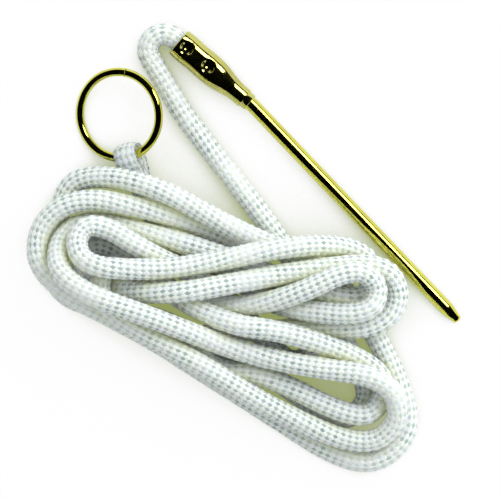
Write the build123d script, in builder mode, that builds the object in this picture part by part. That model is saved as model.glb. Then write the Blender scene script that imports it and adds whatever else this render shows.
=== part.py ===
"""Fish stringer: a ring, one braided cord laid in a loose hank, and a needle in a crimped ferrule.

Millimetres. The part lies on the plane z = 0, seen from above: +X right, +Y away, +Z up.
"""
import math
import os

import numpy as np
from build123d import *

os.makedirs("parts", exist_ok=True)

# Cord
CORD_D = 6.0  # quarter-inch solid braid
CORD_SIDES = 8  # flats of the drawn cord
LAY_PITCH = 6.7  # middle to middle of two passes that rest on each other
LEAST_GAP = 0.4  # between any two passes of the finished tube
BEND_SHARE = 0.45  # of the shorter run at a corner, used by its arc
NEAR_ALONG = 15.0  # closer along the cord than this is the same pass

# Ring, bent from round wire and butted
RING_OUTER_D = 26.6
RING_WIRE_D = 2.4
RING_SEAM = 0.25
RING_AT = (-42.1, 17.2)  # middle of the ring, seen from above
RING_TILT = 24.0  # its right side leans on the cord, its left side is on the floor
EYE_HEADING = -76.0  # from the ring's middle to the eye, seen from above
SEAM_ANGLE = 155.0  # round the ring from the eye

# Eye at the cord's end, a flattened band round the wire
EYE_WIDTH = 7.4
EYE_BAND = 2.1
EYE_CLEAR = 0.85
EYE_EDGE = 0.9
EYE_LIP = 0.6
EYE_NECK = 5.0  # from the wire to where the two legs meet
EYE_NECK_H = 5.2
THROAT_LENGTH = 12.0  # seen from above, from the wire to the round cord
THROAT_HEADING = -69.0
EYE_STRAIGHT = 12.0  # the cord runs on as the throat points

# Ferrule, a swaged tube
FERRULE_D = 8.3
FERRULE_BORE = 6.1
FERRULE_BARREL = 13.8
FERRULE_CONE = 8.0
FERRULE_NECK_D = 5.6
FERRULE_NECK = 2.5
FERRULE_COLLAR_D = 4.9
FERRULE_COLLAR = 2.0
FERRULE_HEADING = -40.5
MOUTH_AT = (-25.5, 37.7)
CORD_IN_FERRULE = 12.8
DIMPLES = (3.0, 10.8)  # from the mouth
DIMPLE_R = 1.7
DIMPLE_DEPTH = 0.9
DIMPLE_WALL = 0.8

# Needle, a round rod with an upset head
NEEDLE_D = 4.0
NEEDLE_LENGTH = 84.7  # from the collar to the tip
NEEDLE_HEADING = -46.3
NEEDLE_HEAD_D = 5.4
NEEDLE_HEAD = 1.8
NEEDLE_BEND_R = 12.0
COLLAR_CLEAR = 1.0  # from the collar to the bend
TIP_TAPER = 5.4
TIP_D = 2.7
TIP_ROUND = 1.0

# The cord's lie, from the eye to the needle: x, y, radius, turn, order.
# A row with a radius is a bend round that middle: turn is 1 to the left and -1 to the right.
# Of two passes that cross, the one with the higher order was laid on the other.
LAY = [
    # out of the eye, under everything, then up to the first bend on the right
    (-23.7, -26.8, 0.0, 0, 0),
    (-15.3, -32.9, 0.0, 0, 0),
    (-5.5, -36.6, 0.0, 0, 1),
    (5.7, -38.5, 0.0, 0, 9),
    (25.0, -32.1, 6.2, 1, 14),
    # back across the top of the hank, then under it to a bend on the left
    (8.5, -32.4, 0.0, 0, 14),
    (-6.3, -36.3, 0.0, 0, 14),
    (-19.5, -31.8, 0.0, 0, 6),
    (-33.5, -24.0, 0.0, 0, 6),
    (-47.0, -25.0, 6.2, 1, 6),
    # the long pass over the middle, round the right
    (-27.9, -32.9, 0.0, 0, 11),
    (-8.3, -30.1, 0.0, 0, 11),
    (11.3, -26.2, 0.0, 0, 12),
    (29.2, -33.2, 8.7, -1, 12),
    (11.3, -40.5, 0.0, 0, 8),
    (-2.1, -39.4, 0.0, 0, 7),
    (-12.0, -46.0, 7.0, 1, 6.5),
    # three passes to the lower right
    (-2.1, -55.3, 0.0, 0, 7),
    (23.6, -58.7, 10.4, 1, 8.5),
    (5.7, -42.7, 0.0, 0, 10),
    (-13.1, -39.9, 0.0, 0, 10),
    (-38.5, -34.0, 6.6, 1, 9),
    (-17.0, -53.0, 0.0, 0, 8),
    (-1.3, -63.2, 0.0, 0, 7),
    (24.2, -62.9, 10.9, 1, 10),
    # the long pass to the left, round the open loop there
    (9.3, -49.4, 0.0, 0, 13),
    (-8.6, -45.0, 0.0, 0, 13),
    (-27.9, -38.5, 0.0, 0, 13),
    (-48.1, -20.8, 10.6, -1, 8.5),
    (-31.3, -14.0, 0.0, 0, 8),
    (-15.0, -21.3, 0.0, 0, 7),
    (4.3, -28.7, 0.0, 0, 5),
    (21.1, -28.7, 6.7, 1, 5),
    # across the top again, to the small loop on the left
    (5.7, -21.7, 0.0, 0, 9),
    (-19.2, -26.2, 0.0, 0, 9.5),
    (-33.5, -27.9, 0.0, 0, 10),
    (-47.8, -20.3, 7.3, -1, 12),
    (-31.3, -20.3, 0.0, 0, 7),
    (-19.5, -26.5, 0.0, 0, 6),
    (-6.9, -37.4, 0.0, 0, 4),
    (7.1, -45.2, 6.8, 1, 3),
    # the two outer rounds
    (-1.3, -31.8, 0.0, 0, 3),
    (-14.5, -19.6, 0.0, 0, 3),
    (-33.5, -10.4, 0.0, 0, 3),
    (-50.2, -19.0, 13.0, 1, 9),
    (-32.1, -42.7, 0.0, 0, 3),
    (-18.1, -52.8, 0.0, 0, 3),
    (-4.1, -62.6, 0.0, 0, 3),
    (25.6, -66.8, 13.2, 1, 3),
    (23.1, -33.8, 0.0, 0, 3),
    (8.5, -25.9, 0.0, 0, 3),
    (-13.1, -16.8, 0.0, 0, 5),
    (-33.5, -7.2, 0.0, 0, 5),
    (-51.0, -11.6, 8.1, 1, 5),
    (-48.9, -24.5, 11.8, 1, 2),
    # the lowest pass, to the last bend
    (-32.1, -39.1, 0.0, 0, 3),
    (-18.1, -46.4, 0.0, 0, 3),
    (-1.3, -54.2, 0.0, 0, 3),
    (20.5, -61.5, 5.9, 1, 4),
    # out of the hank towards the needle
    (16.9, -45.8, 0.0, 0, 1),
    (10.7, -30.7, 0.0, 0, 1),
    (4.3, -19.2, 0.0, 0, 1),
    (-1.6, -11.6, 0.0, 0, 1),
    (-9.7, -1.3, 0.0, 0, 1),
]

# The free stretch from the hank towards the needle, in the same columns, and its fold at the mouth
LEAD = [
    (-9.7, -1.3, 0.0, 0, 0),
    (-22.9, 15.5, 0.0, 0, 0),
    (-27.3, 22.5, 0.0, 0, 0),
]
FOLD_R = 4.4
FOLD_END = 1.8  # straight before the mouth

# Sizes that follow
FLOOR = CORD_D / 2  # height of the cord's middle where it lies on the floor
RING_R = (RING_OUTER_D - RING_WIRE_D) / 2
EYE_HOLE_R = RING_WIRE_D / 2 + EYE_CLEAR
FERRULE_R = FERRULE_D / 2
FERRULE_LENGTH = FERRULE_BARREL + FERRULE_CONE + FERRULE_NECK + FERRULE_COLLAR


def heading(degrees):
    """A level direction."""
    return Vector(math.cos(math.radians(degrees)), math.sin(math.radians(degrees)), 0)


def tangent_angle(here, there):
    """The direction of the line that leaves one bend and reaches the next."""
    dx = there[0] - here[0]
    dy = there[1] - here[1]
    offset = there[3] * there[2] - here[3] * here[2]
    lean = math.asin(max(-1.0, min(1.0, offset / math.hypot(dx, dy))))
    return math.atan2(dy, dx) - lean


def corner_points(lay):
    """The corners of the route, with their order: a bend gets a corner for each 72 degrees."""
    points = []
    for k, (x, y, radius, turn, order) in enumerate(lay):
        if radius == 0:
            points.append((x, y, order))
            continue
        enter = tangent_angle(lay[k - 1], lay[k])
        leave = tangent_angle(lay[k], lay[k + 1])
        swept = (turn * (leave - enter)) % (2 * math.pi)
        count = math.ceil(math.degrees(swept) / 72)
        reach = radius / math.cos(swept / 2 / count)
        for i in range(count):
            angle = enter + turn * swept * (i + 0.5) / count
            points.append((x + turn * reach * math.sin(angle), y - turn * reach * math.cos(angle), order))
    return np.array(points)


def route_rows(plan, spacing=2.6):
    """How much each corner has of each point along the route, its bends rounded."""
    share = np.eye(len(plan))
    rows = []
    leave = share[0]
    for k in range(1, len(plan) - 1):
        runs = np.linalg.norm(plan[k] - plan[k - 1]), np.linalg.norm(plan[k + 1] - plan[k])
        used = BEND_SHARE * min(runs)
        enter = share[k] + (share[k - 1] - share[k]) * used / runs[0]
        straight = math.ceil(np.linalg.norm((enter - leave) @ plan) / spacing)
        rows += [leave + (enter - leave) * i / straight for i in range(straight)]
        leave = share[k] + (share[k + 1] - share[k]) * used / runs[1]
        bent = max(1, round(2 * used / spacing))
        for t in np.arange(bent) / bent:
            rows.append(enter * (1 - t) ** 2 + share[k] * 2 * t * (1 - t) + leave * t * t)
    straight = math.ceil(np.linalg.norm((share[-1] - leave) @ plan) / spacing)
    rows += [leave + (share[-1] - leave) * i / straight for i in range(straight + 1)]
    return np.array(rows)


def part_passes(line, first, second):
    """How far each point has to move for the listed pairs to be a pitch apart."""
    away = line[first] - line[second]
    distance = np.linalg.norm(away, axis=1)
    lack = np.maximum(LAY_PITCH - distance, 0)
    shift = away * (lack / 2 / distance)[:, None]
    push = np.zeros_like(line)
    np.add.at(push, first, shift)
    np.add.at(push, second, -shift)
    hits = np.bincount(first[lack > 0], minlength=len(line)) + np.bincount(second[lack > 0], minlength=len(line))
    return push / np.sqrt(np.maximum(hits, 1))[:, None]


def settle(plan, order, ends, rounds=900, drop=3.0, fall=0.12, hold=0.06, stiff=0.2, sag=0.02):
    """Lets the laid cord sink until its passes rest on each other, and returns its corners.

    While it sinks it is held near its plan and keeps its bends; then it is let go.
    """
    rows = route_rows(plan)
    share = rows.sum(axis=0)[:, None]
    corners = np.column_stack([plan, FLOOR + order * drop])
    steps = np.linalg.norm(np.diff(rows @ plan, axis=0), axis=1)
    along = np.concatenate([[0], np.cumsum(steps)])
    later = along[None, :] - along[:, None] > NEAR_ALONG
    for k in range(rounds):
        grip = 1.0 if k < 0.6 * rounds else 0.1 if k < 0.8 * rounds else 0.0
        corners[:, 2] -= fall if grip == 1 else 0.0
        moved = corners[:, :2] - plan
        corners[:, :2] -= grip * hold * moved
        moved = corners[:, :2] - plan
        corners[1:-1, :2] += grip * stiff * ((moved[:-2] + moved[2:]) / 2 - moved[1:-1])
        height = corners[:, 2].copy()
        corners[1:-1, 2] += grip * sag * ((height[:-2] + height[2:]) / 2 - height[1:-1])
        for where, point in ends.items():
            corners[where] = point
        line = rows @ corners
        if k % 10 == 0:
            near = np.linalg.norm(line[:, None] - line[None, :], axis=2) < LAY_PITCH + 4
            first, second = np.nonzero(later & near)
        push = part_passes(line, first, second)
        push[:, 2] += np.maximum(FLOOR - line[:, 2] - push[:, 2], 0)
        corners += 0.9 * (rows.T @ push) / share
        corners[:, 2] = np.maximum(corners[:, 2], FLOOR)
    for where, point in ends.items():
        corners[where] = point
    return corners


def bend_radii(corners):
    """For each inner corner, the arc that uses the same share of its shorter run."""
    radii = []
    for before, here, after in zip(corners, corners[1:], corners[2:]):
        first = here - before
        second = after - here
        runs = np.linalg.norm(first), np.linalg.norm(second)
        turn = math.acos(max(-1.0, min(1.0, float(first @ second) / (runs[0] * runs[1]))))
        radii.append(BEND_SHARE * min(runs) / math.tan(turn / 2))
    return radii


def route_points(edges, spacing=1.0):
    """Points along a route, and how far along it each one is."""
    points = []
    reached = []
    start = 0.0
    for edge in edges:
        steps = max(2, math.ceil(edge.length / spacing))
        for i in range(steps):
            place = edge.position_at(i / steps)
            points.append((place.X, place.Y, place.Z))
            reached.append(start + edge.length * i / steps)
        start += edge.length
    return np.array(points), np.array(reached)


def least_gap(points, reached):
    """The least gap between two passes of a cord along these points."""
    distance = np.linalg.norm(points[:, None, :] - points[None, :, :], axis=2)
    near = np.abs(reached[:, None] - reached[None, :]) < NEAR_ALONG
    return float(np.where(near, 1e3, distance).min()) - CORD_D


# Where the ring lies: across is its wire's direction at the eye, rising to the right
outward = heading(EYE_HEADING)
across = Vector(0, 0, 1).cross(outward) * math.cos(math.radians(RING_TILT))
across = across + Vector(0, 0, math.sin(math.radians(RING_TILT)))
ring_height = RING_WIRE_D / 2 + RING_R * math.sin(math.radians(RING_TILT))
ring_middle = Vector(RING_AT[0], RING_AT[1], ring_height)
ring_normal = outward.cross(across)
wire_at_eye = ring_middle + outward * RING_R

with BuildPart() as ring:
    seam = math.radians(SEAM_ANGLE)
    spoke = outward * math.cos(seam) + across * math.sin(seam)
    with BuildSketch(Plane(origin=ring_middle + spoke * RING_R, x_dir=spoke, z_dir=ring_normal.cross(spoke))):
        Circle(RING_WIRE_D / 2)
    revolve(axis=Axis(ring_middle, ring_normal), revolution_arc=360 - math.degrees(RING_SEAM / RING_R))

# The eye's throat leads from the wire down to the floor
throat = heading(THROAT_HEADING)
throat_end = Vector(wire_at_eye.X, wire_at_eye.Y, FLOOR) + throat * THROAT_LENGTH
down_throat = (throat_end - wire_at_eye).normalized()
from_wire = (down_throat - across * down_throat.dot(across)).normalized()

with BuildPart() as ring_eye:
    with BuildSketch(Plane(origin=wire_at_eye, x_dir=from_wire, z_dir=across)):
        Circle(EYE_HOLE_R + EYE_BAND)
        with Locations((EYE_NECK, 0)):
            Circle(EYE_NECK_H / 2)
        make_hull()
    extrude(amount=EYE_WIDTH / 2, both=True)
    rims = ring_eye.faces().filter_by(Axis(wire_at_eye, across)).edges()
    chamfer(rims, length=EYE_EDGE)
    neck_middle = wire_at_eye + from_wire * EYE_NECK
    with BuildSketch(Plane(origin=neck_middle, x_dir=across, z_dir=from_wire)):
        RectangleRounded(EYE_WIDTH, EYE_NECK_H, 1.6)
    with BuildSketch(Plane(origin=throat_end, x_dir=Vector(0, 0, 1).cross(throat), z_dir=throat)):
        Circle(CORD_D / 2)
    loft()
    with BuildSketch(Plane(origin=wire_at_eye, x_dir=from_wire, z_dir=across)):
        Circle(EYE_HOLE_R)
    extrude(amount=EYE_WIDTH, both=True, mode=Mode.SUBTRACT)
    lips = ring_eye.faces().filter_by(Axis(wire_at_eye, across)).edges()
    lips = lips.filter_by(GeomType.CIRCLE).filter_by(lambda e: abs(e.radius - EYE_HOLE_R) < 0.01)
    chamfer(lips, length=EYE_LIP)

# The hank: its first two corners are the eye's, its last two leave for the needle
straight_end = throat_end + throat * EYE_STRAIGHT
eye_rows = [(place.X, place.Y, 0.0, 0, 0) for place in (wire_at_eye, throat_end, straight_end)]
laid = corner_points(eye_rows + LAY)
ends = {
    0: tuple(wire_at_eye),
    1: tuple(throat_end),
    2: tuple(straight_end),
    len(laid) - 2: (LAY[-2][0], LAY[-2][1], FLOOR),
    len(laid) - 1: (LAY[-1][0], LAY[-1][1], FLOOR),
}
hank_corners = settle(laid[:, :2], laid[:, 2], ends)[1:]
hank_radii = bend_radii(hank_corners)

with BuildPart() as cord_hank:
    with BuildLine():
        hank_route = FilletPolyline(*[tuple(c) for c in hank_corners], radius=hank_radii)
    with BuildSketch(Plane(origin=hank_route @ 0, z_dir=hank_route % 0)):
        RegularPolygon(CORD_D / 2, CORD_SIDES)
    sweep()

# The ferrule lies on the floor along its barrel
barrel_way = heading(FERRULE_HEADING)
mouth = Vector(MOUTH_AT[0], MOUTH_AT[1], FERRULE_R)
beside = Vector(0, 0, 1).cross(barrel_way)
dimple_places = [mouth + barrel_way * s + Vector(0, 0, FERRULE_R + DIMPLE_R - DIMPLE_DEPTH) for s in DIMPLES]
neck_from = FERRULE_BARREL + FERRULE_CONE
collar_from = neck_from + FERRULE_NECK
shoulder = FERRULE_BARREL + NEEDLE_HEAD

# The free stretch rises from the floor to the mouth, folded back on itself there
fold = mouth - barrel_way * FOLD_END - beside * FOLD_R
fold_rows = [(fold.X, fold.Y, FOLD_R, -1, 0), (mouth.X, mouth.Y, 0.0, 0, 0)]
lead_corners = corner_points(LEAD + fold_rows)
lead_corners[:, 2] = FLOOR
rising = len(lead_corners) - len(LEAD)
lead_corners[len(LEAD) :, 2] += (FERRULE_R - FLOOR) * np.minimum(np.arange(1, rising + 1) / (rising - 1), 1)
lead_radii = bend_radii(lead_corners)

with BuildPart() as needle_lead:
    with BuildLine():
        lead_route = FilletPolyline(*[tuple(c) for c in lead_corners], radius=lead_radii)
    with BuildSketch(Plane(origin=lead_route @ 0, z_dir=lead_route % 0)):
        RegularPolygon(CORD_D / 2, CORD_SIDES)
    sweep()

with BuildPart() as ferrule:
    with BuildSketch(Plane(origin=mouth, x_dir=barrel_way, z_dir=-beside)):
        with BuildLine():
            Polyline(
                (0, FERRULE_BORE / 2),
                (0, FERRULE_R - 0.3),
                (0.3, FERRULE_R),
                (FERRULE_BARREL, FERRULE_R),
                (neck_from, FERRULE_NECK_D / 2),
                (collar_from, FERRULE_NECK_D / 2),
                (collar_from + 0.3, FERRULE_COLLAR_D / 2),
                (FERRULE_LENGTH - 0.3, FERRULE_COLLAR_D / 2),
                (FERRULE_LENGTH, FERRULE_COLLAR_D / 2 - 0.3),
                (FERRULE_LENGTH, NEEDLE_D / 2),
                (shoulder, NEEDLE_D / 2),
                (shoulder, NEEDLE_HEAD_D / 2),
                (FERRULE_BARREL, NEEDLE_HEAD_D / 2),
                (FERRULE_BARREL - 1, FERRULE_BORE / 2),
                close=True,
            )
        make_face()
    revolve(axis=Axis(mouth, barrel_way))
    with Locations(*dimple_places):
        Sphere(DIMPLE_R + DIMPLE_WALL)
    with BuildSketch(Plane(origin=mouth, x_dir=beside, z_dir=barrel_way)):
        Circle(FERRULE_R)
    extrude(amount=FERRULE_LENGTH, mode=Mode.INTERSECT)
    with Locations(*dimple_places):
        Sphere(DIMPLE_R, mode=Mode.SUBTRACT)

with BuildPart() as cord_end:
    with BuildSketch(Plane(origin=mouth, x_dir=beside, z_dir=barrel_way)):
        Circle(FERRULE_BORE / 2)
    extrude(amount=CORD_IN_FERRULE)
    with Locations(*dimple_places):
        Sphere(DIMPLE_R + DIMPLE_WALL, mode=Mode.SUBTRACT)

# The rod is a little bent where it leaves the collar, and its tip is on the floor
collar_end = mouth + barrel_way * FERRULE_LENGTH
drop = math.degrees(math.asin((FERRULE_R - NEEDLE_D / 2) / (NEEDLE_LENGTH - COLLAR_CLEAR - TIP_TAPER)))
rod_way = heading(NEEDLE_HEADING) * math.cos(math.radians(drop)) - Vector(0, 0, math.sin(math.radians(drop)))
head_from = mouth + barrel_way * FERRULE_BARREL
taper_from = collar_end + barrel_way * COLLAR_CLEAR + rod_way * (NEEDLE_LENGTH - COLLAR_CLEAR - TIP_TAPER)

with BuildPart() as needle:
    with BuildLine():
        bend_at = collar_end + barrel_way * COLLAR_CLEAR
        rod_route = FilletPolyline(tuple(head_from), tuple(bend_at), tuple(taper_from), radius=NEEDLE_BEND_R)
    with BuildSketch(Plane(origin=rod_route @ 0, z_dir=rod_route % 0)):
        Circle(NEEDLE_D / 2)
    sweep()
    with BuildSketch(Plane(origin=head_from, x_dir=beside, z_dir=barrel_way)):
        Circle(NEEDLE_HEAD_D / 2)
    extrude(amount=NEEDLE_HEAD)
    with BuildSketch(Plane(origin=taper_from, x_dir=rod_way, z_dir=-Vector(0, 0, 1).cross(rod_way))):
        with BuildLine():
            Polyline((0, 0), (0, NEEDLE_D / 2), (TIP_TAPER - TIP_ROUND, TIP_D / 2))
            Spline(
                (TIP_TAPER - TIP_ROUND, TIP_D / 2),
                (TIP_TAPER, 0),
                tangents=((1, -0.15), (0, -1)),
            )
            Line((TIP_TAPER, 0), (0, 0))
        make_face()
    revolve(axis=Axis(taper_from, rod_way))

nodes = {
    "ring": ring,
    "ring_eye": ring_eye,
    "cord_hank": cord_hank,
    "needle_lead": needle_lead,
    "cord_end": cord_end,
    "ferrule": ferrule,
    "needle": needle,
}
for name, node in nodes.items():
    node.part.label = name
    export_step(node.part, f"parts/{name}.step")

section = CORD_SIDES / 2 * (CORD_D / 2) ** 2 * math.sin(2 * math.pi / CORD_SIDES)
gap = least_gap(*route_points(hank_route.order_edges()))
print("hank: least gap to itself", round(gap, 2), "mm, asked for", LEAST_GAP)
print("hank: length", round(hank_route.length), "mm, tightest", round(min(hank_radii), 1), "mm")
print("hank: volume over section x length", round(cord_hank.part.volume / section / hank_route.length, 4))
print("hank: top", round(cord_hank.part.bounding_box().max.Z, 1), "mm")
print("lead: length", round(lead_route.length), "mm, radii", [round(r, 1) for r in lead_radii])
print("lead: volume over section x length", round(needle_lead.part.volume / section / lead_route.length, 4))
metal = Compound(children=[ring.part, ferrule.part, needle.part]).bounding_box()
print("box of the metal pieces", metal.min, metal.max)
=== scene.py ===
"""Looks of the fish stringer: white braided cord in a loose hank, brass ring, crimped ferrule and needle.

Sizes and places are in millimetres, as in the part's source, and become metres where meshes are made.
"""

import math

import bpy
import numpy as np
from mathutils import Matrix, Vector


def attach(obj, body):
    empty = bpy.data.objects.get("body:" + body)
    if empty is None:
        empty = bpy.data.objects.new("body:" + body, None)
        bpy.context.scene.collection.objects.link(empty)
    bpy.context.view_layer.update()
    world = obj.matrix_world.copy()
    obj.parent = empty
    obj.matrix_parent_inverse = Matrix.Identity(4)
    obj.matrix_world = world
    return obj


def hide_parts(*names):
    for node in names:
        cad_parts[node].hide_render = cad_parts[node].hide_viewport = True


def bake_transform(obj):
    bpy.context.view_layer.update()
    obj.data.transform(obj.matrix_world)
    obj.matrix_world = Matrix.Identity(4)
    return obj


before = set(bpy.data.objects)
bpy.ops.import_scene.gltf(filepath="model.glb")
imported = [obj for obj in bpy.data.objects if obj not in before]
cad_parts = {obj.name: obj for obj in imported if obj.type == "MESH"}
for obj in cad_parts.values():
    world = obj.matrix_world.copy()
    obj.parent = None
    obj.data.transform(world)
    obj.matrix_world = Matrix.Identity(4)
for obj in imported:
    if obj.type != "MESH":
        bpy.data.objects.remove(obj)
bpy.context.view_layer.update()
scene = bpy.context.scene

MM = 0.001
UP = np.array((0.0, 0.0, 1.0))

# Cord
CORD_D = 6.0
LAY_PITCH = 6.7  # middle to middle of two passes that rest on each other
NEAR_ALONG = 15.0  # closer along the cord than this is the same pass
FLOOR = CORD_D / 2  # height of the middle of a pass that lies on the floor
CARRIERS = 24  # yarns of the braid, half of them each way round
FLOAT_SPACING = 2.1  # along the cord, from a float to the next of the same yarns
ROWS_PER_FLOAT = 4
BRAID_R = 3.21  # over the tops of the floats, before the cord is pressed flat on the floor
YARN_SUNK = 0.1  # how much lower the floats of the other way round lie
YARN_SHOULDER = 0.2  # how far a float falls to its edges
YARN_PIT = 0.52  # and to its corners
YARN_UNEVEN = 0.12  # how much lower some points of the yarns lie than others
YARN_WANDER = 0.12  # how far they stray round the cord, as a share of their spacing
BRAID_SEED = 7
CORD_TWIST = 0.5  # how far the braid turns to and fro round the cord, in radians
TWIST_RUN = 83.0  # from one turn to the next that way
CORD_IN_FERRULE = 12.8
CRIMP_SQUEEZE = 0.85  # how much the crimps take off the cord's radius
SQUEEZE_FROM = 0.4  # inside the mouth, where this begins
SQUEEZE_RUN = 1.2  # until it is whole
CREVICE_SHADE_REACH = 3.4  # how far from another pass its shade still tells

# Ring
RING_OUTER_D = 26.6
RING_WIRE_D = 2.4
RING_SEAM = 0.25  # between the wire's butted ends
RING_AT = (-42.1, 17.2)
RING_TILT = 24.0  # off the floor, about the line from its middle to the eye
EYE_HEADING = -76.0  # of that line
SEAM_ANGLE = 155.0  # from the eye to the seam

# Eye
EYE_WIDTH = 7.4
EYE_BAND = 2.1  # thickness of the flattened braid
EYE_CLEAR = 0.45  # between wire and band
EYE_NECK = 5.0  # from the wire to the neck
EYE_NECK_H = 5.2
EYE_LEG = 2.0  # how far the band runs on into the neck
NECK_OVERLAP = 0.6  # of the neck over the band
NECK_RUN_ON = 1.2  # of the neck over the cord
NECK_TUCK = 0.2  # how much narrower than the band it is on each side
NECK_BACK = 1.0  # how far before half way its middle point lies
THROAT_LENGTH = 12.0  # from the wire to where the plain cord begins
THROAT_HEADING = -69.0
EYE_STRAIGHT = 12.0  # cord that goes straight on from the throat

# Ferrule
FERRULE_D = 8.3
FERRULE_BORE = 6.1
BORE_STEP = 1.0  # over which the bore narrows to the needle's head
FERRULE_BARREL = 13.8
FERRULE_CONE = 8.0
FERRULE_NECK_D = 5.6
FERRULE_NECK = 2.5
FERRULE_COLLAR_D = 4.9
FERRULE_COLLAR = 2.0
FERRULE_LIP = 0.3  # how far the mouth and the collar are rounded
CONE_EASE = 0.6  # how far before the cone the barrel begins to narrow
NEEDLE_FIT = 0.01  # between ferrule and needle
FERRULE_HEADING = -40.5
MOUTH_AT = (-25.5, 37.7)
DIMPLES = (3.0, 10.8)  # from the mouth
DIMPLE_R = 2.05
DIMPLE_DEPTH = 1.3
DIMPLE_RIM = 0.12  # how softly the wall turns into a dimple
CRIMP_BULGE = 0.16  # how far a crimp pushes the wall out beside it
CRIMP_RUN = 2.4  # and how far along the barrel
DIMPLE_INSIDE = 0.6  # how much of a dimple shows in the bore
CRIMP_FLAT = 0.5  # how much squarer than round the crimped barrel is

# Needle
NEEDLE_D = 4.0
NEEDLE_LENGTH = 84.7
NEEDLE_HEADING = -46.3
NEEDLE_HEAD_D = 5.4
NEEDLE_HEAD = 1.8
COLLAR_CLEAR = 1.0  # from the collar to the rod's bend
TIP_TAPER = 5.4  # length of the tapered tip, with its end
TIP_D = 2.7  # where its rounded end begins
TIP_ROUND = 1.0  # length of that end

# The cord's lie, from the eye to the needle: x, y, radius, turn, order.
# A row with a radius is a bend round that middle: turn is 1 to the left and -1 to the right.
# Of two passes that cross, the one with the higher order was laid on the other.
LAY = [
    # out of the eye, under everything, then up to the first bend on the right
    (-23.7, -26.8, 0.0, 0, 0),
    (-15.3, -32.9, 0.0, 0, 0),
    (-5.5, -36.6, 0.0, 0, 1),
    (5.7, -38.5, 0.0, 0, 9),
    (23.0, -32.0, 6.4, 1, 14),
    # back across the top of the hank, then under it to a bend on the left
    (8.5, -32.4, 0.0, 0, 14),
    (-6.3, -36.3, 0.0, 0, 14),
    (-19.5, -31.8, 0.0, 0, 6),
    (-33.5, -24.0, 0.0, 0, 6),
    (-47.0, -25.0, 6.2, 1, 6),
    # the long pass over the middle, round the right
    (-27.9, -32.9, 0.0, 0, 11),
    (-8.3, -30.1, 0.0, 0, 11),
    (11.3, -26.2, 0.0, 0, 12),
    (26.6, -33.4, 8.4, -1, 12),
    (11.3, -40.5, 0.0, 0, 8),
    (-2.1, -39.4, 0.0, 0, 7),
    (-10.9, -46.4, 8.8, 1, 6.5),
    # three passes to the lower right
    (-2.1, -55.3, 0.0, 0, 7),
    (24.4, -59.4, 8.3, 1, 8.5),
    (5.7, -42.7, 0.0, 0, 10),
    (-13.1, -39.9, 0.0, 0, 10),
    (-38.5, -34.0, 6.6, 1, 9),
    (-17.0, -53.0, 0.0, 0, 8),
    (-1.3, -63.2, 0.0, 0, 7),
    (24.2, -62.9, 10.9, 1, 10),
    # the long pass to the left, round the open loop there
    (9.3, -49.4, 0.0, 0, 13),
    (-8.6, -45.0, 0.0, 0, 13),
    (-27.9, -38.5, 0.0, 0, 13),
    (-48.1, -20.8, 10.6, -1, 8.5),
    (-31.3, -14.0, 0.0, 0, 8),
    (-15.0, -21.3, 0.0, 0, 7),
    (4.3, -28.7, 0.0, 0, 5),
    (21.1, -28.7, 6.7, 1, 5),
    # across the top again, to the small loop on the left
    (5.7, -21.7, 0.0, 0, 9),
    (-19.2, -26.2, 0.0, 0, 9.5),
    (-33.5, -27.9, 0.0, 0, 10),
    (-47.8, -20.3, 7.3, -1, 12),
    (-31.3, -20.3, 0.0, 0, 7),
    (-19.5, -26.5, 0.0, 0, 6),
    (-6.9, -37.4, 0.0, 0, 4),
    (7.1, -45.2, 6.8, 1, 3),
    # the two outer rounds
    (-1.3, -31.8, 0.0, 0, 3),
    (-14.5, -19.6, 0.0, 0, 3),
    (-33.5, -10.4, 0.0, 0, 3),
    (-50.2, -19.0, 13.0, 1, 9),
    (-32.1, -42.7, 0.0, 0, 3),
    (-18.1, -52.8, 0.0, 0, 3),
    (-4.1, -62.6, 0.0, 0, 3),
    (25.6, -66.8, 13.2, 1, 3),
    (23.1, -33.8, 0.0, 0, 3),
    (8.5, -25.9, 0.0, 0, 3),
    (-13.1, -16.8, 0.0, 0, 5),
    (-33.5, -7.2, 0.0, 0, 5),
    (-51.0, -11.6, 8.1, 1, 5),
    (-48.9, -24.5, 11.8, 1, 2),
    # the lowest pass, to the last bend
    (-32.1, -39.1, 0.0, 0, 3),
    (-18.1, -46.4, 0.0, 0, 3),
    (-1.3, -54.2, 0.0, 0, 3),
    (20.2, -61.4, 6.5, 1, 4),
    # out of the hank towards the needle
    (16.9, -45.8, 0.0, 0, 1),
    (10.7, -30.7, 0.0, 0, 1),
    (4.3, -19.2, 0.0, 0, 1),
    (-1.6, -11.6, 0.0, 0, 1),
    (-9.7, -1.3, 0.0, 0, 1),
]

# The free stretch from the hank towards the needle, in the same columns, and its fold at the mouth
LEAD = [
    (-9.7, -1.3, 0.0, 0, 0),
    (-22.9, 15.5, 0.0, 0, 0),
    (-27.3, 22.5, 0.0, 0, 0),
    (-32.4, 31.4, 0.0, 0, 0),
]
FOLD_R = 4.4
FOLD_END = 1.8


# Directions and routes


def heading(degrees):
    """A level direction."""
    return np.array((math.cos(math.radians(degrees)), math.sin(math.radians(degrees)), 0.0))


def unit(vectors):
    """Vectors made one long."""
    return vectors / np.linalg.norm(vectors, axis=-1, keepdims=True)


def tangent_angle(here, there):
    """The direction of the line that leaves one bend and reaches the next."""
    dx = there[0] - here[0]
    dy = there[1] - here[1]
    offset = there[3] * there[2] - here[3] * here[2]
    return math.atan2(dy, dx) - math.asin(max(-1.0, min(1.0, offset / math.hypot(dx, dy))))


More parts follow.
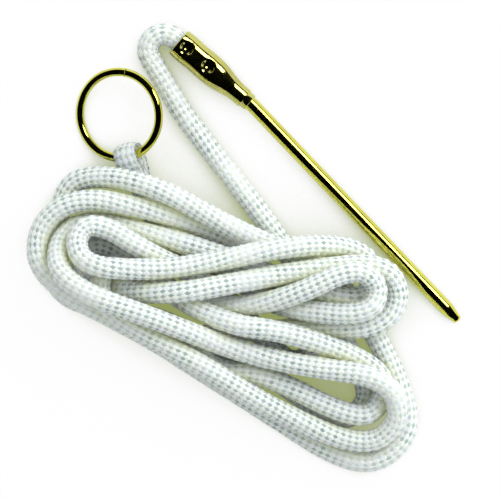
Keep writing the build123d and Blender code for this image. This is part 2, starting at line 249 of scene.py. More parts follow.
def corner_points(lay, most=72):
    """The corners of the route, with their order. One corner turns by this many degrees at most."""
    points = []
    for k, (x, y, radius, turn, order) in enumerate(lay):
        if radius == 0:
            points.append((x, y, order))
            continue
        enter = tangent_angle(lay[k - 1], lay[k])
        leave = tangent_angle(lay[k], lay[k + 1])
        swept = (turn * (leave - enter)) % (2 * math.pi)
        count = math.ceil(math.degrees(swept) / most)
        reach = radius / math.cos(swept / 2 / count)
        for i in range(count):
            angle = enter + turn * swept * (i + 0.5) / count
            points.append((x + turn * reach * math.sin(angle), y - turn * reach * math.cos(angle), order))
    return np.array(points)


def spline_shares(plan, spacing=2.6):
    """How much each control point has of the places along its spline where passes may touch."""
    share = np.eye(len(plan))
    rows = [share[0]]
    last = len(plan) - 2
    for k in range(1, last + 1):
        start = share[0] if k == 1 else (share[k - 1] + share[k]) / 2
        end = share[-1] if k == last else (share[k] + share[k + 1]) / 2
        span = np.linalg.norm((share[k] - start) @ plan) + np.linalg.norm((end - share[k]) @ plan)
        steps = math.ceil(span / spacing)
        for t in np.arange(1, steps + 1) / steps:
            rows.append(start * (1 - t) ** 2 + share[k] * 2 * t * (1 - t) + end * t * t)
    return np.array(rows)


def part_passes(line, first, second):
    """How far each point has to move for the listed pairs to be a pitch apart."""
    away = line[first] - line[second]
    distance = np.linalg.norm(away, axis=1)
    lack = np.maximum(LAY_PITCH - distance, 0)
    shift = away * (lack / 2 / distance)[:, None]
    push = np.zeros_like(line)
    np.add.at(push, first, shift)
    np.add.at(push, second, -shift)
    touching = lack > 0
    hits = np.bincount(first[touching], minlength=len(line))
    hits += np.bincount(second[touching], minlength=len(line))
    return push / np.sqrt(np.maximum(hits, 1))[:, None]


def settle(plan, order, ends):
    """Lets the laid cord sink until its passes rest on each other, and returns its control points.

    While it sinks it is held near its plan and keeps its bends; then it is let go.
    """
    rounds = 900
    sinking = 0.6 * rounds
    easing = 0.8 * rounds
    drop = 3.0  # height of one step of the order before the cord sinks
    fall = 0.12  # in one round
    hold = 0.06  # share of a shift in plan that is taken back in one round
    stiff = 0.2  # how much a corner follows its neighbours' shifts in plan
    sag = 0.02  # and their height
    follow = 0.9  # share of a push that is taken in one round
    look_every = 10  # rounds between searches for passes that are near each other
    look_round = 4.0  # how much farther apart than a pitch such passes may be
    rows = spline_shares(plan)
    share = rows.sum(axis=0)[:, None]
    corners = np.column_stack([plan, FLOOR + order * drop])
    steps = np.linalg.norm(np.diff(rows @ plan, axis=0), axis=1)
    along = np.concatenate([[0], np.cumsum(steps)])
    later = along[None, :] - along[:, None] > NEAR_ALONG
    for k in range(rounds):
        grip = 1.0 if k < sinking else 0.1 if k < easing else 0.0
        corners[:, 2] -= fall if grip == 1 else 0.0
        moved = corners[:, :2] - plan
        corners[:, :2] -= grip * hold * moved
        moved = corners[:, :2] - plan
        corners[1:-1, :2] += grip * stiff * ((moved[:-2] + moved[2:]) / 2 - moved[1:-1])
        height = corners[:, 2].copy()
        corners[1:-1, 2] += grip * sag * ((height[:-2] + height[2:]) / 2 - height[1:-1])
        for where, point in ends.items():
            corners[where] = point
        line = rows @ corners
        if k % look_every == 0:
            near = np.linalg.norm(line[:, None] - line[None, :], axis=2) < LAY_PITCH + look_round
            first, second = np.nonzero(later & near)
        push = part_passes(line, first, second)
        push[:, 2] += np.maximum(FLOOR - line[:, 2] - push[:, 2], 0)
        corners += follow * (rows.T @ push) / share
        corners[:, 2] = np.maximum(corners[:, 2], FLOOR)
    for where, point in ends.items():
        corners[where] = point
    return corners


def plain_mesh(holder):
    """The evaluated shape of an object as a mesh of its own; the object goes."""
    mesh = bpy.data.meshes.new_from_object(holder.evaluated_get(bpy.context.evaluated_depsgraph_get()))
    data = holder.data
    bpy.data.objects.remove(holder)
    (bpy.data.curves if isinstance(data, bpy.types.Curve) else bpy.data.meshes).remove(data)
    return mesh


def spline_line(control, steps=24):
    """Points along the smooth line of these control points, read from a curve with no bevel."""
    curve = bpy.data.curves.new("route", "CURVE")
    curve.dimensions = "3D"
    spline = curve.splines.new("NURBS")
    spline.points.add(len(control) - 1)
    for point, place in zip(spline.points, control):
        point.co = (*place, 1.0)
    spline.order_u = 3
    spline.use_endpoint_u = True
    spline.resolution_u = steps
    holder = bpy.data.objects.new("route", curve)
    scene.collection.objects.link(holder)
    mesh = plain_mesh(holder)
    line = np.array([v.co for v in mesh.vertices])
    bpy.data.meshes.remove(mesh)
    return line


def lengths(line):
    """How far along a line each of its points is."""
    return np.concatenate([[0], np.cumsum(np.linalg.norm(np.diff(line, axis=0), axis=1))])


def at_lengths(line, wanted):
    """The places at these lengths along a line."""
    along = lengths(line)
    return np.column_stack([np.interp(wanted, along, line[:, axis]) for axis in range(3)])


def carried_sides(line, first_side):
    """The directions of a line, and a side vector carried along it without twist."""
    ahead = unit(np.gradient(line, axis=0))
    sides = np.empty_like(line)
    side = first_side
    for k, way in enumerate(ahead):
        side = side - way * (side @ way)
        side = side / np.linalg.norm(side)
        sides[k] = side
    return ahead, sides


# Meshes


def make_piece(name, mesh, finish):
    """An object at the origin, smooth, in one finish."""
    mesh.name = name
    mesh.materials.clear()
    mesh.materials.append(finish)
    mesh.shade_smooth()
    piece = bpy.data.objects.new(name, mesh)
    scene.collection.objects.link(piece)
    return piece


def braid_skin(middles, sides, lifts, wide, tall):
    """Points, faces and yarn coordinates of a braid: its floats are raised diamonds, over one and under one.

    Rows lie half a yarn's crossing apart. In even rows the tops of floats and the pits between them take
    turns, in odd rows are the shoulders. Each yarn coordinate is a length along the yarn and a place across
    it, from 0 to 1 for the yarns of one way round and from 1 to 2 for the others.
    """
    yarn_apart = 40.0  # between the length coordinates of one yarn and the next
    half_yarn = 0.49  # kept inside the yarn's own range of places
    rows = len(middles)
    r = np.arange(rows)[:, None]
    k = np.arange(CARRIERS)[None, :]
    odd = r % 2
    crossing = r // 2
    stray, lower = np.random.default_rng(BRAID_SEED).uniform(0, 1, (2, rows, CARRIERS))
    angle = 2 * np.pi * (k + 0.5 * odd + YARN_WANDER * (2 * stray - 1)) / CARRIERS
    tops = -YARN_SUNK * (crossing % 2)
    relief = np.where(odd == 1, -YARN_SHOULDER, np.where((k - crossing) % 2 == 0, tops, -YARN_PIT))
    relief = relief - YARN_UNEVEN * lower
    wide = np.broadcast_to(wide, rows)[:, None]
    tall = np.broadcast_to(tall, rows)[:, None]
    lean = np.hypot(np.cos(angle) * tall, np.sin(angle) * wide)
    across = np.cos(angle) * (wide + relief * tall / lean)
    above = np.sin(angle) * (tall + relief * wide / lean)
    points = middles[:, None] + across[..., None] * sides[:, None] + above[..., None] * lifts[:, None]
    points = points.reshape(-1, 3)
    points[:, 2] = np.maximum(points[:, 2], 0.0)

    quads = []
    marks = []
    for parity in (0, 1):
        low = np.arange(parity, rows - 2, 2)[:, None]
        left = np.broadcast_to(k, (len(low), CARRIERS))
        right = (left + parity) % CARRIERS
        before = (left - 1 + parity) % CARRIERS
        quads.append(
            np.stack(
                [
                    low * CARRIERS + left,
                    (low + 1) * CARRIERS + right,
                    (low + 2) * CARRIERS + left,
                    (low + 1) * CARRIERS + before,
                ],
                axis=-1,
            ).reshape(-1, 4)
        )
        # each face is a quarter of a float: its corners, from the float's middle, along both ways round
        level = low // 2
        own = (left - level) % 2 == 0
        if parity == 0:
            spots = ([(0, 0), (1, 0), (1, 1), (0, 1)], [(-1, -1), (0, -1), (0, 0), (-1, 0)])
            crossed = np.where(own, level, level + 1)
            column = left
        else:
            spots = ([(-1, 0), (0, 0), (0, 1), (-1, 1)], [(0, -1), (1, -1), (1, 0), (0, 0)])
            crossed = np.broadcast_to(level + 1, left.shape)
            column = np.where(own, left + 1, left)
        spot = np.where(own[..., None, None], np.array(spots[0]), np.array(spots[1]))
        other_way = crossed % 2
        along = np.where(other_way[..., None] == 0, spot[..., 0], spot[..., 1])
        over = np.where(other_way[..., None] == 0, spot[..., 1], spot[..., 0])
        yarn = np.where(other_way == 0, (column - crossed) // 2, (column + crossed) // 2) % (CARRIERS // 2)
        length = crossed[..., None] + 0.5 * along + yarn_apart * yarn[..., None]
        place = other_way[..., None] + 0.5 + half_yarn * over
        marks.append(np.stack([length, place], axis=-1).reshape(-1, 4, 2))
    return points, np.concatenate(quads), np.concatenate(marks)


def closed_ends(points, rows):
    """Adds a middle to each end of a braid's skin; returns the points and the closing triangles."""
    first = points[: 2 * CARRIERS].mean(axis=0)
    last = points[(rows - 2) * CARRIERS :].mean(axis=0)
    near = len(points)
    far = near + 1
    end = (rows - 1) * CARRIERS
    triangles = []
    for k in range(CARRIERS):
        before = (k - 1) % CARRIERS
        triangles.append((near, CARRIERS + k, k))
        triangles.append((near, k, CARRIERS + before))
        triangles.append((far, end - CARRIERS + before, end + k))
        triangles.append((far, end + k, end - CARRIERS + k))
    return np.vstack([points, first, last]), triangles


def braid_mesh(skins):
    """One mesh of the given braids, in metres, with the yarn coordinates as its UV map."""
    points = []
    faces = []
    marks = []
    for middles, sides, lifts, wide, tall in skins:
        base = sum(len(p) for p in points)
        skin, quads, coordinates = braid_skin(middles, sides, lifts, wide, tall)
        skin, triangles = closed_ends(skin, len(middles))
        points.append(skin)
        faces += (quads + base).tolist()
        faces += (np.array(triangles) + base).tolist()
        marks.append(coordinates.reshape(-1, 2))
        marks.append(np.full((3 * len(triangles), 2), 0.5))
    mesh = bpy.data.meshes.new("braid")
    mesh.from_pydata((np.vstack(points) * MM).tolist(), [], faces)
    layer = mesh.uv_layers.new(name="yarn")
    layer.data.foreach_set("uv", np.vstack(marks).astype(np.float32).ravel())
    return mesh


def odd_count(length, spacing):
    """How many rows fill a length, an odd number."""
    return 2 * round(length / spacing / 2) + 1


def braid_rows(line, first_side, wide, tall, twist=0.0):
    """Middles and axes of a braid's rows along a line, with its section at each length along it.

    A twist turns the yarns to and fro round the line.
    """
    total = lengths(line)[-1]
    wanted = np.linspace(0, total, odd_count(total, FLOAT_SPACING / ROWS_PER_FLOAT))
    middles = at_lengths(line, wanted)
    ahead, sides = carried_sides(middles, first_side)
    lifts = np.cross(ahead, sides)
    turn = twist * np.sin(2 * np.pi * wanted / TWIST_RUN)[:, None]
    turned = sides * np.cos(turn) + lifts * np.sin(turn)
    return middles, turned, np.cross(ahead, turned), wide(wanted, total), tall(wanted, total)


def ring_by_ring(name, rings, closed):
    """A mesh through rings of points, in metres: it joins its last ring to its first, or has flat ends."""
    count, sides = rings.shape[:2]
    faces = []
    for r in range(count if closed else count - 1):
        here = r * sides
        there = (r + 1) % count * sides
        for k in range(sides):
            beside = (k + 1) % sides
            faces.append((here + k, here + beside, there + beside, there + k))
    if not closed:
        last = (count - 1) * sides
        faces.append(tuple(range(sides))[::-1])
        faces.append(tuple(range(last, last + sides)))
    mesh = bpy.data.meshes.new(name)
    mesh.from_pydata((rings.reshape(-1, 3) * MM).tolist(), [], faces)
    return mesh


# Node trees and finishes


class Value:
    """A socket of a node tree, with the sums that finishes use."""

    def __init__(self, nodes, socket):
        self.nodes = nodes
        self.socket = socket

    def sum_with(self, operation, first, second):
        """A Math node on two values."""
        return self.nodes.node("ShaderNodeMath", {"operation": operation}, {0: first, 1: second})

    def __add__(self, other):
        return self.sum_with("ADD", self, other)

    def __sub__(self, other):
        return self.sum_with("SUBTRACT", self, other)

    def __rsub__(self, other):
        return self.sum_with("SUBTRACT", other, self)

    def __mul__(self, other):
        return self.sum_with("MULTIPLY", self, other)

    def __gt__(self, other):
        return self.sum_with("GREATER_THAN", self, other)

    def __mod__(self, other):
        return self.sum_with("MODULO", self, other)

    def __abs__(self):
        return self.sum_with("ABSOLUTE", self, 0.0)

    __radd__ = __add__
    __rmul__ = __mul__


class Nodes:
    """A node tree, and one method that adds a node to it."""

    def __init__(self, tree):
        self.tree = tree

    def node(self, kind, settings=None, inputs=None, output=0):
        """A node with its settings, then the values or links of its sockets; returns one of its outputs."""
        made = self.tree.nodes.new(kind)
        for name, value in (settings or {}).items():
            setattr(made, name, value)
        for name, value in (inputs or {}).items():
            if isinstance(value, Value):
                self.tree.links.new(value.socket, made.inputs[name])
            else:
                made.inputs[name].default_value = value
        return Value(self, made.outputs[output]) if made.outputs else made


class Finish(Nodes):
    """The nodes of a material or of the world."""

    def __init__(self, owner):
        owner.use_nodes = True
        super().__init__(owner.node_tree)
        self.owner = owner
        self.tree.nodes.clear()

    def place(self):
        """Object coordinates."""
        return self.node("ShaderNodeTexCoord", output="Object")

    def one_of(self, vector, axis):
        """One number of a vector."""
        return self.node("ShaderNodeSeparateXYZ", None, {"Vector": vector}, output=axis)

    def noise(self, vector, scale, detail, roughness):
        """Soft random levels over these coordinates."""
        inputs = {"Vector": vector, "Scale": scale, "Detail": detail, "Roughness": roughness}
        return self.node("ShaderNodeTexNoise", None, inputs)

    def between(self, value, low, high, to_low=0.0, to_high=1.0):
        """A value taken from one range to another, with its ends held."""
        ends = {"From Min": low, "From Max": high, "To Min": to_low, "To Max": to_high}
        return self.node("ShaderNodeMapRange", {"clamp": True}, {"Value": value, **ends})

    def mix(self, factor, first, second):
        """A colour between two: these are the node's sockets for colours."""
        return self.node("ShaderNodeMix", {"data_type": "RGBA"}, {0: factor, 6: first, 7: second}, output=2)

    def bump(self, height, strength, distance):
        """A normal that follows this height."""
        inputs = {"Height": height, "Strength": strength, "Distance": distance}
        return self.node("ShaderNodeBump", None, inputs)

    def surface(self, shader):
        """The finished material."""
        self.node("ShaderNodeOutputMaterial", None, {"Surface": shader})
        return self.owner


def braid_finish():
    """Glossy white yarns. Painted shade: the floats of one way round are grey in the middle, in some patches
    more, for the duller gloss of those yarns.

    Between passes, painted shade turns the white cream and then olive.
    """
    white = (0.93, 0.94, 0.92, 1.0)
    yarn_shade_grey = (0.3, 0.39, 0.365, 1.0)
    pit_shade_grey = (0.7, 0.75, 0.66, 1.0)
    shade_cream = (0.86, 0.87, 0.62, 1.0)
    shade_olive = (0.82, 0.84, 0.46, 1.0)
    made = Finish(bpy.data.materials.new("white_braid"))
    yarn = made.node("ShaderNodeUVMap", {"uv_map": "yarn"})
    length = made.one_of(yarn, "X")
    place = made.one_of(yarn, "Y")
    other_way = place > 1.0
    # 0 in the middle of a float, 1 at its edges and at its ends
    across = abs((place % 1.0) - 0.5) * 2.0
    along = abs(((length + 0.5) % 1.0) - 0.5) * 2.0
    filaments = made.node("ShaderNodeCombineXYZ", None, {"X": length * 1.6, "Y": place * 26.0})
    fibre = made.noise(filaments, scale=1.0, detail=2.0, roughness=0.6)
    # the painted grey shade in the middle of a float, ragged along its filaments
    outer = made.node("ShaderNodeMath", {"operation": "MAXIMUM"}, {0: across, 1: along})
    inner = made.between(outer + (fibre - 0.5) * 0.5, 0.64, 0.92, 1.0, 0.0)
    # how dark the painted shade is: by chance for each float, and by patches
    one_float = made.node("ShaderNodeMath", {"operation": "FLOOR"}, {0: length + 0.5})
    spot = made.node("ShaderNodeCombineXYZ", None, {"X": one_float, "Y": other_way})
    chance = made.node("ShaderNodeTexWhiteNoise", {"noise_dimensions": "2D"}, {"Vector": spot})
    patches = made.noise(made.place(), scale=48.0, detail=2.0, roughness=0.5)
    yarn_shade = made.between(patches, 0.34, 0.56, 0.35, 1.0) * (chance * 0.45 + 0.55)
    yarns = made.mix(other_way * inner * yarn_shade, white, yarn_shade_grey)
    # painted shade in the pits between floats, and painted shade near other passes
    pits = made.between(across * along, 0.5, 0.95, 0.0, 0.4)
    braid = made.mix(pits, yarns, pit_shade_grey)
    # painted shade between passes: cream near another pass, olive where they touch
    crevice_shade = made.node("ShaderNodeAttribute", {"attribute_name": "crevice_shade"}, None, output="Fac")
    near = made.mix(crevice_shade * 0.35, braid, shade_cream)
    colour = made.mix(crevice_shade * crevice_shade * crevice_shade * 0.9, near, shade_olive)
    rounded = (1.0 - across * across) * (1.0 - along * along * 0.7)
    shader = made.node(
        "ShaderNodeBsdfPrincipled",
        None,
        {
            "Base Color": colour,
            "Roughness": made.between(fibre, 0.3, 0.7, 0.34, 0.5),
            "Specular IOR Level": 0.5,
            "Subsurface Weight": 0.9,
            "Subsurface Radius": (1.0, 0.97, 0.7),
            "Subsurface Scale": 0.003,
            "Sheen Weight": 0.2,
            "Normal": made.bump(rounded + fibre * 0.3, strength=0.8, distance=0.0003),
        },
    )
    return made.surface(shader)


def brass_finish(name, bright, deep, roughness):
    """Polished brass plating with a fine grain, faint smears and a little tarnish."""
    made = Finish(bpy.data.materials.new(name))
    place = made.place()
    tarnish = made.noise(place, scale=90.0, detail=4.0, roughness=0.6)
    smears = made.noise(place, scale=260.0, detail=3.0, roughness=0.55)
    grains = made.noise(place, scale=2600.0, detail=2.0, roughness=0.6)
    colour = made.mix(made.between(tarnish, 0.4, 0.7), bright, deep)
    shader = made.node(
        "ShaderNodeBsdfPrincipled",
        None,
        {
            "Base Color": colour,
            "Metallic": 1.0,
            "Roughness": made.between(smears, 0.35, 0.7, roughness, roughness + 0.06),
            "Normal": made.bump(grains * 0.5 + smears, strength=0.06, distance=0.0002),
        },
    )
    return made.surface(shader)


def floor_finish():
    """A white floor that keeps the part's shadow; between the cord's loops painted shade makes its glow
    dimmer and olive.
    """
    shade_olive = (0.36, 0.42, 0.13, 1.0)
    white = (1.0, 1.0, 1.0, 1.0)
    pale_grey = (0.86, 0.86, 0.86, 1.0)
    shade_reach = 0.03  # metres
    made = Finish(bpy.data.materials.new("white_floor"))
    camera = made.node("ShaderNodeLightPath", None, None, output="Is Camera Ray")
    sky = made.node("ShaderNodeAmbientOcclusion", {"samples": 8}, {"Distance": shade_reach}, output="AO")
    # painted shade: the glow turns olive where the floor is hemmed in by cord
    tint = made.mix(made.between(sky, 0.16, 0.6), shade_olive, white)
    lit = made.node("ShaderNodeBsdfDiffuse", None, {"Color": pale_grey})
    glow = made.node("ShaderNodeEmission", None, {"Color": tint, "Strength": 1.0})
    # painted shade: less of the glow where the floor is hemmed in by cord
    share = camera * made.between(sky, 0.2, 0.75, 0.75, 0.96)
    return made.surface(made.node("ShaderNodeMixShader", None, {0: share, 1: lit, 2: glow}))


def studio_world(strength):
    """Even light, a little cool, more of it from the right and the back.

    The camera sees white; reflections see white low down and a dark ceiling.
    """
    cool = (0.93, 1.0, 0.985, 1.0)
    white = (1.0, 1.0, 1.0, 1.0)
    made = Finish(bpy.data.worlds.new("studio"))
    camera = made.node("ShaderNodeLightPath", None, None, output="Is Camera Ray")
    glossy = made.node("ShaderNodeLightPath", None, None, output="Is Glossy Ray")
    way = made.node("ShaderNodeTexCoord", output="Generated")
    right, back, high = (made.one_of(way, axis) for axis in "XYZ")
    # the dark ceiling begins higher on the right and at the back, with a soft edge
    edge = (right + back) * 0.11 + 0.16
    wall = made.between(high - edge, -0.06, 0.06, 1.0, 0.0)
    side = ((right + back) * 0.42 + 1.0) * strength
    level = side + camera * (1.0 - side) + glossy * (wall - side)
    colour = made.mix(camera + glossy, cool, white)
    sky = made.node("ShaderNodeBackground", None, {"Color": colour, "Strength": level})
    made.node("ShaderNodeOutputWorld", None, {"Surface": sky})
    return made.owner


# Places that the pieces share
outward = heading(EYE_HEADING)
tilt = math.radians(RING_TILT)
across_ring = np.cross(UP, outward) * math.cos(tilt) + UP * math.sin(tilt)
ring_radius = (RING_OUTER_D - RING_WIRE_D) / 2
ring_middle = np.array((*RING_AT, RING_WIRE_D / 2 + ring_radius * math.sin(tilt)))
ring_normal = np.cross(outward, across_ring)
wire_at_eye = ring_middle + outward * ring_radius

throat = heading(THROAT_HEADING)
throat_end = np.array((wire_at_eye[0], wire_at_eye[1], FLOOR)) + throat * THROAT_LENGTH
down_throat = unit(throat_end - wire_at_eye)
from_wire = unit(down_throat - across_ring * (down_throat @ across_ring))
straight_end = throat_end + throat * EYE_STRAIGHT

ferrule_radius = FERRULE_D / 2
ferrule_length = FERRULE_BARREL + FERRULE_CONE + FERRULE_NECK + FERRULE_COLLAR
barrel_way = heading(FERRULE_HEADING)
beside_barrel = np.cross(UP, barrel_way)
mouth = np.array((*MOUTH_AT, ferrule_radius))

white_braid = braid_finish()
bright_brass = brass_finish(
    "bright_brass", bright=(0.8, 0.76, 0.13, 1.0), deep=(0.68, 0.62, 0.1, 1.0), roughness=0.05
)
dark_brass = brass_finish(
    "dark_brass", bright=(0.7, 0.66, 0.18, 1.0), deep=(0.54, 0.5, 0.14, 1.0), roughness=0.06
)


# The cord: from the eye through the hank and along the free stretch into the ferrule


def hank_corners():
    """The settled control points of the hank, from the eye's throat."""
    rows = [(*place[:2], 0.0, 0, 0) for place in (wire_at_eye, throat_end, straight_end)]
    laid = corner_points(rows + LAY)
    ends = {
        0: wire_at_eye,
        1: throat_end,
        2: straight_end,
        len(laid) - 2: (*LAY[-2][:2], FLOOR),
        len(laid) - 1: (*LAY[-1][:2], FLOOR),
    }
    return settle(laid[:, :2], laid[:, 2], ends)[1:]


def lead_corners():
    """The control points of the free stretch, which rises to the ferrule's mouth, and its end inside."""
    fold = mouth - barrel_way * FOLD_END - beside_barrel * FOLD_R
    rows = LEAD + [(*fold[:2], FOLD_R, -1, 0), (*mouth[:2], 0.0, 0, 0)]
    corners = corner_points(rows)
    corners[:, 2] = FLOOR
    rising = len(corners) - len(LEAD)
    risen = np.minimum(np.arange(1, rising + 1) / (rising - 1), 1)
    corners[len(LEAD) :, 2] += (ferrule_radius - FLOOR) * risen
    return np.vstack([corners, mouth + barrel_way * CORD_IN_FERRULE])


cord_line = spline_line(np.vstack([hank_corners(), lead_corners()[1:]]) * MM) / MM


def cord_radius(wanted, total):
    """The braid is squeezed where the crimps hold it."""
    inside = wanted - (total - CORD_IN_FERRULE + SQUEEZE_FROM)
    return BRAID_R - CRIMP_SQUEEZE * np.clip(inside / SQUEEZE_RUN, 0, 1)


def crevice_shade_of(points, middles, rows_apart):
    """For each point of the braid, the strength of its painted shade: how near it is to another pass, 1
    where they touch.
    """
    sampled = np.arange(0, len(middles), ROWS_PER_FLOAT)
    nearest = np.empty(len(middles) * CARRIERS)
    for r in range(len(middles)):
        others = middles[sampled[np.abs(sampled - r) > rows_apart]]
        ring_points = points[r * CARRIERS : (r + 1) * CARRIERS]
        gaps = np.linalg.norm(ring_points[:, None] - others[None], axis=2)
        nearest[r * CARRIERS : (r + 1) * CARRIERS] = gaps.min(axis=1)
    return np.clip(1 - (nearest - BRAID_R) / CREVICE_SHADE_REACH, 0, 1)


def add_crevice_shade(mesh, middles):
    """Keeps the painted shade of each point as an attribute for the cord's finish."""
    points = np.array([v.co for v in mesh.vertices]) / MM
    rows_apart = NEAR_ALONG / (FLOAT_SPACING / ROWS_PER_FLOAT)
    values = np.zeros(len(points), np.float32)
    values[: len(middles) * CARRIERS] = crevice_shade_of(points, middles, rows_apart)
    mesh.attributes.new("crevice_shade", "FLOAT", "POINT").data.foreach_set("value", values)
    return mesh


cord_skin = braid_rows(cord_line, np.cross(UP, throat), cord_radius, cord_radius, CORD_TWIST)
cord = make_piece("braided_cord", add_crevice_shade(braid_mesh([cord_skin]), cord_skin[0]), white_braid)
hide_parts("cord_hank", "needle_lead", "cord_end")


# The eye: the flattened end goes round the wire and back into the cord
eye_middle_r = RING_WIRE_D / 2 + EYE_CLEAR + EYE_BAND / 2
eye_up = np.cross(across_ring, from_wire)
leg = EYE_NECK + EYE_LEG
# along the cord and up from the wire, as shares of the band's own radius
over_wire = [(leg / eye_middle_r, 0.42), (1.2, 0.75), (0.35, 1.08), (-0.6, 1.06), (-1.18, 0.45)]
under_wire = [(a, -b) for a, b in reversed(over_wire)]
band_control = [
    wire_at_eye + from_wire * a * eye_middle_r + eye_up * b * eye_middle_r for a, b in over_wire + under_wire
]
band_line = spline_line(np.array(band_control) * MM) / MM
band_skin = braid_rows(
    band_line,
    across_ring,
    lambda wanted, total: np.full(len(wanted), EYE_WIDTH / 2),
    lambda wanted, total: np.full(len(wanted), EYE_BAND / 2),
)
neck_start = wire_at_eye + from_wire * (EYE_NECK - NECK_OVERLAP)
neck_control = [
    neck_start,
    (neck_start + throat_end) / 2 - throat * NECK_BACK,
    throat_end,
    throat_end + throat * NECK_RUN_ON,
]
neck_line = spline_line(np.array(neck_control) * MM) / MM


def neck_section(begins, full, half_way):
    """The neck's half width or height along it: from inside the band to just over the cord."""
    full_at = 0.8
    over_cord = 0.05
    sections = [begins, full, half_way, BRAID_R + over_cord]
    return lambda wanted, total: np.interp(wanted, [0, full_at, total / 2, total], sections)


neck_width = neck_section(begins=2.9, full=EYE_WIDTH / 2 - NECK_TUCK, half_way=3.45)
neck_height = neck_section(begins=1.7, full=EYE_NECK_H / 2, half_way=2.95)
neck_skin = braid_rows(neck_line, across_ring, neck_width, neck_height)
eye = make_piece("cord_eye", braid_mesh([band_skin, neck_skin]), white_braid)
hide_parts("ring_eye")
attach(eye, "cord")


# The ring: an arc of wire, with its butted seam


def wire_ring_tree():
    """Geometry nodes: an arc of round wire, by its sizes and its place, and its inputs' identifiers."""
    tree = bpy.data.node_groups.new("wire_ring", "GeometryNodeTree")
    kinds = dict.fromkeys(("Ring Radius", "Wire Radius", "Sweep"), "Float")
    kinds.update(dict.fromkeys(("Middle", "Turn"), "Vector"))
    sockets = {
        name: tree.interface.new_socket(name, in_out="INPUT", socket_type="NodeSocket" + kind)
        for name, kind in kinds.items()
    }
    tree.interface.new_socket("Geometry", in_out="OUTPUT", socket_type="NodeSocketGeometry")
    made = Nodes(tree)
    given = {name: made.node("NodeGroupInput", output=name) for name in kinds}
    arc = made.node(
        "GeometryNodeCurveArc",
        None,
        {"Resolution": 256, "Radius": given["Ring Radius"], "Sweep Angle": given["Sweep"]},
    )
    section = made.node(
        "GeometryNodeCurvePrimitiveCircle", None, {"Resolution": 40, "Radius": given["Wire Radius"]}
    )
    wire = made.node(
        "GeometryNodeCurveToMesh", None, {"Curve": arc, "Profile Curve": section, "Fill Caps": True}
    )
    placed = made.node(
        "GeometryNodeTransform",
        None,
        {"Geometry": wire, "Translation": given["Middle"], "Rotation": given["Turn"]},
    )
    real = made.node("GeometryNodeRealizeInstances", None, {"Geometry": placed})
    painted = made.node("GeometryNodeSetMaterial", None, {"Geometry": real, "Material": bright_brass})
    made.node("NodeGroupOutput", None, {"Geometry": painted})
    return tree, {name: socket.identifier for name, socket in sockets.items()}


def ring_mesh():
    """The ring in its place, its seam at its angle from the eye."""
    seam = math.radians(SEAM_ANGLE)
    spoke = outward * math.cos(seam) + across_ring * math.sin(seam)
    axes = Matrix(np.column_stack([spoke, np.cross(ring_normal, spoke), ring_normal]).tolist())
    tree, names = wire_ring_tree()
    holder = bpy.data.objects.new("ring_holder", bpy.data.meshes.new("ring_holder"))
    scene.collection.objects.link(holder)
    modifier = holder.modifiers.new("wire_ring", "NODES")
    modifier.node_group = tree
    modifier[names["Ring Radius"]] = ring_radius * MM
    modifier[names["Wire Radius"]] = RING_WIRE_D / 2 * MM
    modifier[names["Sweep"]] = 2 * math.pi - RING_SEAM / ring_radius
    modifier[names["Middle"]] = (ring_middle * MM).tolist()
    modifier[names["Turn"]] = tuple(axes.to_euler())
    return plain_mesh(holder)


ring = make_piece("wire_ring", ring_mesh(), bright_brass)
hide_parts("ring")
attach(ring, "ring")


# The ferrule: a tube swaged down to the rod, with two crimps


def eased(t):
    """From 0 to 1 with a soft start and end."""
    t = np.clip(t, 0, 1)
    return t * t * (3 - 2 * t)


